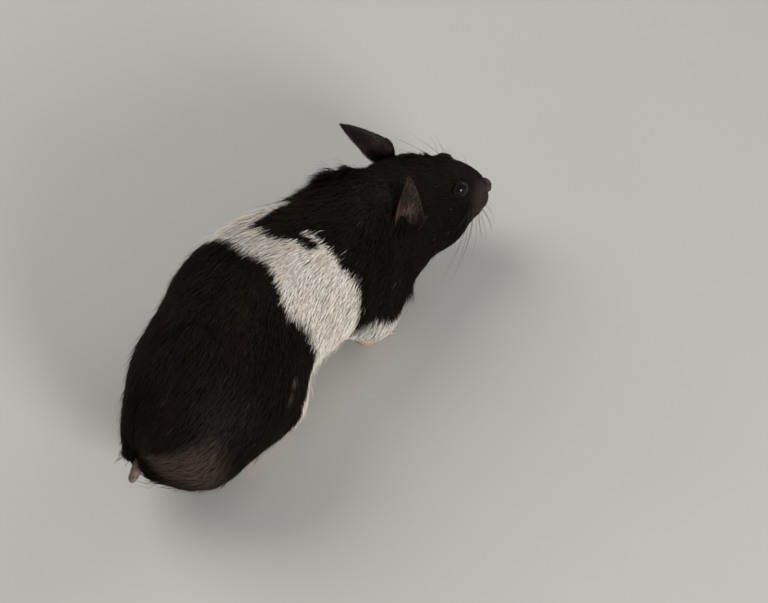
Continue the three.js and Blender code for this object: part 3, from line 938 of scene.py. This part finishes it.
def tufts(name, surface, density, length, width, unwrap, generator):
    """Coats part of a surface. Density, length and width are functions of the place."""
    points, faces = surface
    places, normals = scatter(points, faces, density, generator)
    count = len(places)
    sway = 0.20 * wobble(places, 9, 8) + 0.12 * wobble(places, 2.5, 9)
    sway = sway + 0.09 * generator.standard_normal(count)
    away = turned(flattened(body_lie(places, normals), normals), normals, sway)
    lock = 1 + 0.18 * wobble(places, 2.6, 10)
    longer = length(places) * lock * generator.uniform(0.8, 1.2, count)
    stray = generator.random(count) < STRAY_SHARE
    rise = coat_height(places) * generator.uniform(0.75, 1.15, count) * lock
    rise = rise * np.where(stray, STRAY_RISE, 1)
    wide = width(places) * generator.uniform(0.6, 1.3, count) * np.where(stray, 0.5, 1)
    spine, below = grow(surface_of(points, faces), places, normals, away, longer, rise, TUFT_STEPS)
    shown = 0.35 * spine[-2] + 0.65 * spine[-1]
    colours = coat_colour(shown, generator.normal(0, MARKING_BLUR, count))
    colours = colours * np.exp(0.1 * generator.standard_normal((count, 1)))
    for number, (members, uv) in enumerate(unwrap(places), 1):
        piece = f"{name}_{number}"
        shape = spine[:, members], below[:, members], wide[members]
        show(piece, tuft_mesh(piece, *shape, colours[members], uv), FUR, "coat")


def in_lengths(along, turn):
    """An unwrap by the place along an axis and the turn round it, cut across to keep each piece small."""
    pieces = max(1, math.ceil(len(along) / TUFTS_IN_PIECE))
    for members in np.array_split(np.argsort(along, kind="stable"), pieces):
        part = along[members]
        u = (part - part.min()) / max(np.ptp(part), 1e-6)
        yield members, 0.01 + 0.98 * np.stack([u, turn[members]], axis=1)


def round_body(places):
    """The coat's unwrap round the body's axis."""
    return in_lengths(places[:, 0], (girth(places) + 180) / 360)


def round_head(places):
    """The unwrap of the head round its own axis."""
    f, l, u = in_head(places).T
    return in_lengths(f, (np.arctan2(l, u + 9) / math.pi + 1) / 2)


def round_legs(places):
    """The unwrap of the four legs, each round its own upright axis in a quarter of the map."""
    leg = np.argmin(from_feet(places, 2), axis=1)
    away = places[:, :2] - foot_middles[leg, :2]
    angle = (np.arctan2(away[:, 1], away[:, 0]) / math.pi + 1) / 2
    rise = np.clip(places[:, 2] / 50, 0, 1)
    corner = np.stack([leg % 2, leg // 2], axis=1) * 0.5
    yield np.arange(len(places)), corner + 0.01 + 0.48 * np.stack([angle, rise], axis=1)


def region_of(points):
    """Which coat a point of the skin belongs to: 0 the trunk and neck, 1 the head, 2 the legs."""
    region = np.zeros(len(points), int)
    region[(points[:, 2] < 17) & (np.min(from_feet(points, 2), axis=1) < 13)] = 2
    region[in_head(points)[:, 0] > -6] = 1
    return region


def clear_of_face(points):
    """1 where hair grows, 0 on the nose and inside the lids."""
    keep = np.ones(len(points))
    for side, centre in eye_centres.items():
        angle = np.arccos(np.clip(unit(points - centre) @ eye_gazes[side], -1, 1))
        keep *= 1 - smooth(LID_OPENING + 0.26, LID_OPENING + 0.16, angle) * (distance(points, centre) < 5)
    return keep * smooth(2.5, 3.2, distance(points, from_head(NOSE_AT)))


def head_length(points):
    """How long the tufts of the head are: least on the muzzle and round the eyes."""
    f, l, u = in_head(points).T
    length = 1.3 + 1.5 * smooth(26, 16, f) + 2.2 * smooth(14, -2, f)
    length = length + 1.6 * smooth(-6, -16, u) * smooth(22, 8, f)
    for centre in eye_centres.values():
        length = length * (0.45 + 0.55 * smooth(4, 9, distance(points, centre)))
    return length * (1 - 0.65 * before_ears(points))


def trunk_length(points):
    """How long the tufts of the trunk and neck are."""
    length = 5.2 - 0.8 * smooth(14, 6, points[:, 2])
    for place, reach, higher, longer in RUFFLES:
        length = length + longer * near(points, place, reach)
    return length * (1 - 0.65 * before_ears(points)) * (1 - 0.7 * beside_tail(points))


def leg_length(points):
    return 1.5 + 2.8 * smooth(4, 16, points[:, 2])


def make_coat(body):
    """The coat of the trunk, the head and the legs."""
    coats = (  # tufts to a square millimetre, their length and their width
        ("trunk_fur", 8.2, trunk_length, 0.34, round_body),
        ("head_fur", 9.0, head_length, 0.26, round_head),
        ("leg_fur", 7.0, leg_length, 0.3, round_legs),
    )
    for region, (name, amount, length, width, unwrap) in enumerate(coats):
        def density(points):
            return QUANTITY * amount * (region_of(points) == region) * clear_of_face(points)

        def breadth(points):
            face = smooth(4, 24, in_head(points)[:, 0]) * (region == 1)
            return (width - 0.1 * face) / math.sqrt(QUANTITY)

        tufts(name, body, density, length, breadth, unwrap, np.random.default_rng(COAT_SEED + region))


def fine_hair_share(kind, key, points):
    """Where fine hair grows: thicker on an ear's rim, and not on the soles."""
    if kind == "ear":
        upward, sideways = on_ear(key, points)
        return (upward > -2) * (0.45 + 0.55 * (np.abs(sideways) > EAR_RIM_FROM))
    if kind == "foot":
        return smooth(0.8, 1.4, points[:, 2]) * (points[:, 2] < 7)
    return np.ones(len(points))


def fine_hair_way(kind, key):
    """The way fine hair points: to an ear's or the tail's tip, and forward on a foot."""
    if kind == "ear":
        return ear_frame(key)[1]
    if kind == "foot":
        yaw = math.radians(FOOT_YAW[key])
        return np.array([math.cos(yaw), math.sin(yaw), -0.15])
    return unit(TAIL_TIP - TAIL_ROOT)


def fine_hair_colour(kind, key, places):
    """Pale on the feet, grey on the tail, and black on the ears, with a light rear rim on the right one
    that is a painted highlight.
    """
    if kind == "foot":
        return mix(WHITE * 0.85, GREY, cloudy(places, 2, 13, 0.25, 0.5))
    if kind == "tail":
        return mix(GREY, WHITE * 0.45, cloudy(places, 2, 14, 0.4, 0.4))
    upward, sideways = on_ear(key, places)
    aside = sideways / (EAR_WIDTH / 2)
    tone = mix(BLACK, BROWN * 1.2, cloudy(places, 2, 12, 0.5, 0.5))
    tone = mix(tone, GREY, 0.35 * smooth(0.8, 1.05, np.abs(aside)))
    # Painted highlight: the hair on the rear rim of the right ear, where it catches the light, is grey.
    rear = smooth(-0.45, -0.75, aside) * (key == "right")
    return mix(tone, GREY * 1.1, 0.7 * rear * smooth(14, 10, upward) * smooth(2, 6, upward))


def make_fine_hair(ears, feet, tail):
    """Very short hair on the ears, feet and tail, each in its own cell of the bake's map."""
    cells = [("ear", side, ears[side]) for side in SIDES]
    cells += [*(("foot", foot, feet[foot]) for foot in FEET), ("tail", "tail", tail)]
    generator = np.random.default_rng(FINE_HAIR_SEED)
    parts = []
    for number, (kind, key, (points, faces)) in enumerate(cells):
        density, usual_length, width = FINE_HAIR[kind]

        def amount(places):
            return density * QUANTITY * fine_hair_share(kind, key, places)

        places, normals = scatter(points, faces, amount, generator)
        count = len(places)
        lie = flattened(np.tile(fine_hair_way(kind, key), (count, 1)), normals)
        lie = turned(lie, normals, 0.25 * generator.standard_normal(count))
        length = usual_length * generator.uniform(0.7, 1.3, count)
        if kind == "ear":
            length += 2.0 * smooth(5, 1, on_ear(key, places)[0])
        wide = np.full(count, width) / math.sqrt(QUANTITY)
        tree = surface_of(points, faces)
        spine, below = grow(tree, places, normals, lie, length, 0.16 * length, TUFT_STEPS)
        tone = fine_hair_colour(kind, key, places) * np.exp(0.15 * generator.standard_normal((count, 1)))
        low, high = places.min(0), places.max(0)
        flat = (places - low) / np.maximum(high - low, 1e-6)
        corner = np.array([number % 4, number // 4]) * (0.25, 0.5)
        turn = (np.arctan2(normals[:, 1], normals[:, 2]) / math.pi + 1) / 2
        uv = corner + 0.01 + np.stack([0.23 * flat[:, 0], 0.23 * flat[:, 2] + 0.24 * turn], axis=1)
        parts.append((spine, below, wide, tone, uv))
    spine, below = (np.concatenate([p[k] for p in parts], axis=1) for k in range(2))
    wide, tone, uv = (np.concatenate([p[k] for p in parts]) for k in range(2, 5))
    show("fine_hair", tuft_mesh("fine_hair", spine, below, wide, tone, uv), FUR, "coat")


# -------- small pieces


def make_eye(side):
    """An eyeball with a slightly raised cornea."""
    points, faces = ball(48, 32)
    angle = np.arccos(np.clip(points[:, 2], -1, 1))
    points = points * (EYE_RADIUS + 0.12 * np.exp(-((angle / 0.75) ** 4)))[:, None]
    turn = np.array(Vector(eye_gazes[side]).to_track_quat("Z", "Y").to_matrix())
    mesh = make_mesh(f"eyeball_{side}", points @ turn.T + eye_centres[side], faces)
    show(f"eyeball_{side}", mesh, EYE, "eye", f"eye_{side}")


def make_nose():
    """The nose pad, with a pair of comma-shaped nostrils and the groove between them."""
    points, faces = ball(64, 48)
    x, y, z = points.T
    bent = np.abs(y) - 0.42 - 0.25 * (z + 0.1)
    nostril = np.exp(-((bent / 0.16) ** 2) - (((z + 0.05) / 0.3) ** 2)) * smooth(0.2, 0.6, x)
    groove = np.exp(-((y / 0.09) ** 2)) * smooth(0.2, -0.3, z) * smooth(0.1, 0.5, x)
    size = 1 - 0.3 * nostril - 0.16 * groove
    points = from_head(points * size[:, None] * np.array(NOSE_SIZE) + NOSE_AT)
    show("nose", make_mesh("nose", points, faces), NOSE_SKIN, "bare_skin", "nose_pad")


def horn(start, direction, sag, length, radius, sides, rings):
    """A curved spike: points and triangles."""
    direction = unit(direction)
    side = unit(np.cross(direction, sag))
    points = []
    for ring in range(rings):
        t = ring / rings
        middle = start + direction * length * t + np.asarray(sag) * length * t * t
        ahead = unit(direction + 2 * t * np.asarray(sag))
        up = np.cross(side, ahead)
        points.append(middle + radius * (1 - t) ** 0.7 * circle(side, up, sides))
    faces = list(lattice(rings, sides))
    tip = rings * sides
    points.append((start + direction * length + np.asarray(sag) * length)[None])
    faces += [((rings - 1) * sides + k, (rings - 1) * sides + (k + 1) % sides, tip) for k in range(sides)]
    faces += [(0, (k + 1) % sides, k) for k in range(1, sides - 1)]
    points = np.concatenate(points)
    return points, outward(points, np.array(faces))


def make_claws():
    """A claw at the end of every toe, curved down to the floor."""
    spikes = []
    for foot in FEET:
        tips, ahead, sideways = toe_tips(foot)
        middle = np.mean([tip @ sideways for tip in tips])
        for tip in tips:
            splayed = ahead + (tip @ sideways - middle) * 0.07 * sideways
            start = tip - splayed * (CLAW_LENGTH + 0.55) + (0, 0, 0.35)
            spikes.append(horn(start, splayed, (0, 0, -0.22), CLAW_LENGTH + 0.45, CLAW_RADIUS, 8, 7))
    show("claws", make_mesh("claws", *joined(spikes)), CLAW_HORN, "bare_skin")


def make_whiskers(tree):
    """Whiskers in rows on each side of the muzzle, and a few hairs over each eye."""
    generator = np.random.default_rng(WHISKER_SEED)
    hairs = []
    for sign in SIDES.values():
        for row in range(WHISKER_ROWS):
            for column in range(WHISKERS_IN_ROW):
                spot = (25.5 - 1.5 * column, sign * (3.5 + 0.45 * column), -8.2 - 1.15 * row)
                spot, _ = follow(tree, [from_head(spot)])
                length = (9 + 3.6 * column) * generator.uniform(0.85, 1.1)
                aim = np.array([0.35 - 0.22 * column, sign * 1.0, 0.35 - 0.22 * row])
                aim = unit(aim + generator.normal(0, 0.08, 3)) @ HEAD_AXES
                sag = np.array([-0.28, 0, -0.12]) @ HEAD_AXES
                hairs.append(horn(spot[0], aim, sag, length, WHISKER_RADIUS, 4, 12))
        for k in range(BROW_HAIRS):
            spot, _ = follow(tree, [from_head((16.5 - 1.5 * k, sign * 5.5, 1.0))])
            aim = np.array([-0.1, sign * 0.6, 1.0]) + generator.normal(0, 0.1, 3)
            sag = np.array([-0.3, 0, 0]) @ HEAD_AXES
            hairs.append(horn(spot[0], unit(aim) @ HEAD_AXES, sag, BROW_HAIR_LENGTH, 0.045, 4, 8))
    show("whiskers", make_mesh("whiskers", *joined(hairs)), WHISKER, "coat")


# -------- camera, floor and lights

LOOK_AT = np.array([-5.84, -0.9, 25.0])  # shows at this pixel of the 768 by 603 picture
LOOK_AT_PIXEL = (290, 300)
CAMERA_AZIMUTH = math.radians(-50)
CAMERA_ELEVATION = math.radians(50)
CAMERA_DISTANCE = 380.0
FOCAL_PIXELS = 1400.0
PICTURE = (768, 603)
SENSOR = 36.0

FLOOR_HALF_WIDTH = 3000
LIGHTS = {  # place and width in metres, power in watts, colour
    "key": ((-0.1, 0.65, 0.65), 0.8, 5.2, (1.0, 0.985, 0.95)),
    "front": ((-0.25, -0.8, 0.3), 0.35, 7.5, (1.0, 0.99, 0.97)),
    "fill": ((0.7, -0.1, 0.4), 0.5, 1.2, (0.97, 0.985, 1.0)),
}
SKY = ((0.9, 0.93, 1.0, 1), 0.28)  # colour and strength


def rotated(one, other, angle):
    """Two upright axes, turned in their plane so that the first moves toward the second."""
    c, s = math.cos(angle), math.sin(angle)
    return one * c + other * s, other * c - one * s


def make_camera():
    """Looks down at the model from behind its right side, so that LOOK_AT shows at its pixel."""
    azimuth, elevation = CAMERA_AZIMUTH, CAMERA_ELEVATION
    right = Vector((math.cos(azimuth), math.sin(azimuth), 0))
    away = Vector((-math.sin(azimuth), math.cos(azimuth), 0))
    ahead = away * math.cos(elevation) - Vector((0, 0, math.sin(elevation)))
    up = right.cross(ahead)
    place = Vector(LOOK_AT) - ahead * CAMERA_DISTANCE
    across = math.atan((LOOK_AT_PIXEL[0] - PICTURE[0] / 2) / FOCAL_PIXELS)
    down = math.atan((LOOK_AT_PIXEL[1] - PICTURE[1] / 2) / FOCAL_PIXELS)
    right, ahead = rotated(right, ahead, across)
    up, ahead = rotated(up, ahead, -down)
    camera = bpy.data.objects.new("camera", bpy.data.cameras.new("camera"))
    camera.matrix_world = Matrix.Translation(place * MM) @ Matrix((right, up, -ahead)).transposed().to_4x4()
    camera.data.sensor_width = SENSOR
    camera.data.lens = SENSOR * FOCAL_PIXELS / PICTURE[0]
    camera.data.clip_start = 0.01
    bpy.context.scene.collection.objects.link(camera)
    bpy.context.scene.camera = camera


def make_light(name, place, size, power, colour):
    light = bpy.data.lights.new(name, "AREA")
    light.shape = "DISK"
    light.size = size
    light.energy = power
    light.color = colour
    obj = bpy.data.objects.new(name, light)
    obj.location = place
    obj.rotation_euler = (-Vector(place)).to_track_quat("-Z", "Y").to_euler()
    bpy.context.scene.collection.objects.link(obj)


def make_studio():
    """A plain pale floor, three soft lights and an even sky."""
    half = FLOOR_HALF_WIDTH
    corners = [(-half, -half, 0), (half, -half, 0), (half, half, 0), (-half, half, 0)]
    floor = bpy.data.objects.new("floor", make_mesh("floor", corners, [(0, 1, 2, 3)]))
    floor.data.materials.append(FLOOR)
    bpy.context.scene.collection.objects.link(floor)
    for name, values in LIGHTS.items():
        make_light(name, *values)
    world = bpy.data.worlds.new("studio")
    world.use_nodes = True
    background = world.node_tree.nodes["Background"]
    background.inputs["Color"].default_value, background.inputs["Strength"].default_value = SKY
    bpy.context.scene.world = world
    bpy.context.scene.view_settings.view_transform = "Standard"


def make_skin(body, ears, feet, tail):
    """The one skin: flesh that the coat covers, and bare ears, feet and tail sunk into it."""
    bare = [(ears[side], side) for side in SIDES]
    bare += [*((feet[foot], "foot") for foot in FEET), (tail, "tail")]
    shapes = [(points, halved(faces)) for points, faces in (body, *(shape for shape, region in bare))]
    colours = [coat_colour(body[0]) * 0.8, *(bare_colour(shape[0], region) for shape, region in bare)]
    bareness = [np.zeros(len(body[0])), *(np.ones(len(shape[0])) for shape, region in bare)]
    skin = make_mesh("skin", *joined(shapes))
    paint(skin, "coat", np.clip(np.concatenate(colours), 0, 1))
    stamp(skin, "bare", np.concatenate(bareness))
    show("skin", skin, SKIN, "coat", *FLESH, *FEET, "tail", "ear_left", "ear_right")


# -------- the model

body = make_body()
body_tree = surface_of(*body)
ears = {side: make_ear(side) for side in SIDES}
feet = {foot: make_foot(foot) for foot in FEET}
tail = tube(TAIL_ROOT, TAIL_TIP, TAIL_RADII)

make_skin(body, ears, feet, tail)
for side in SIDES:
    make_eye(side)
make_nose()
make_claws()
make_whiskers(body_tree)
make_coat(body)
make_fine_hair(ears, feet, tail)
make_camera()
make_studio()
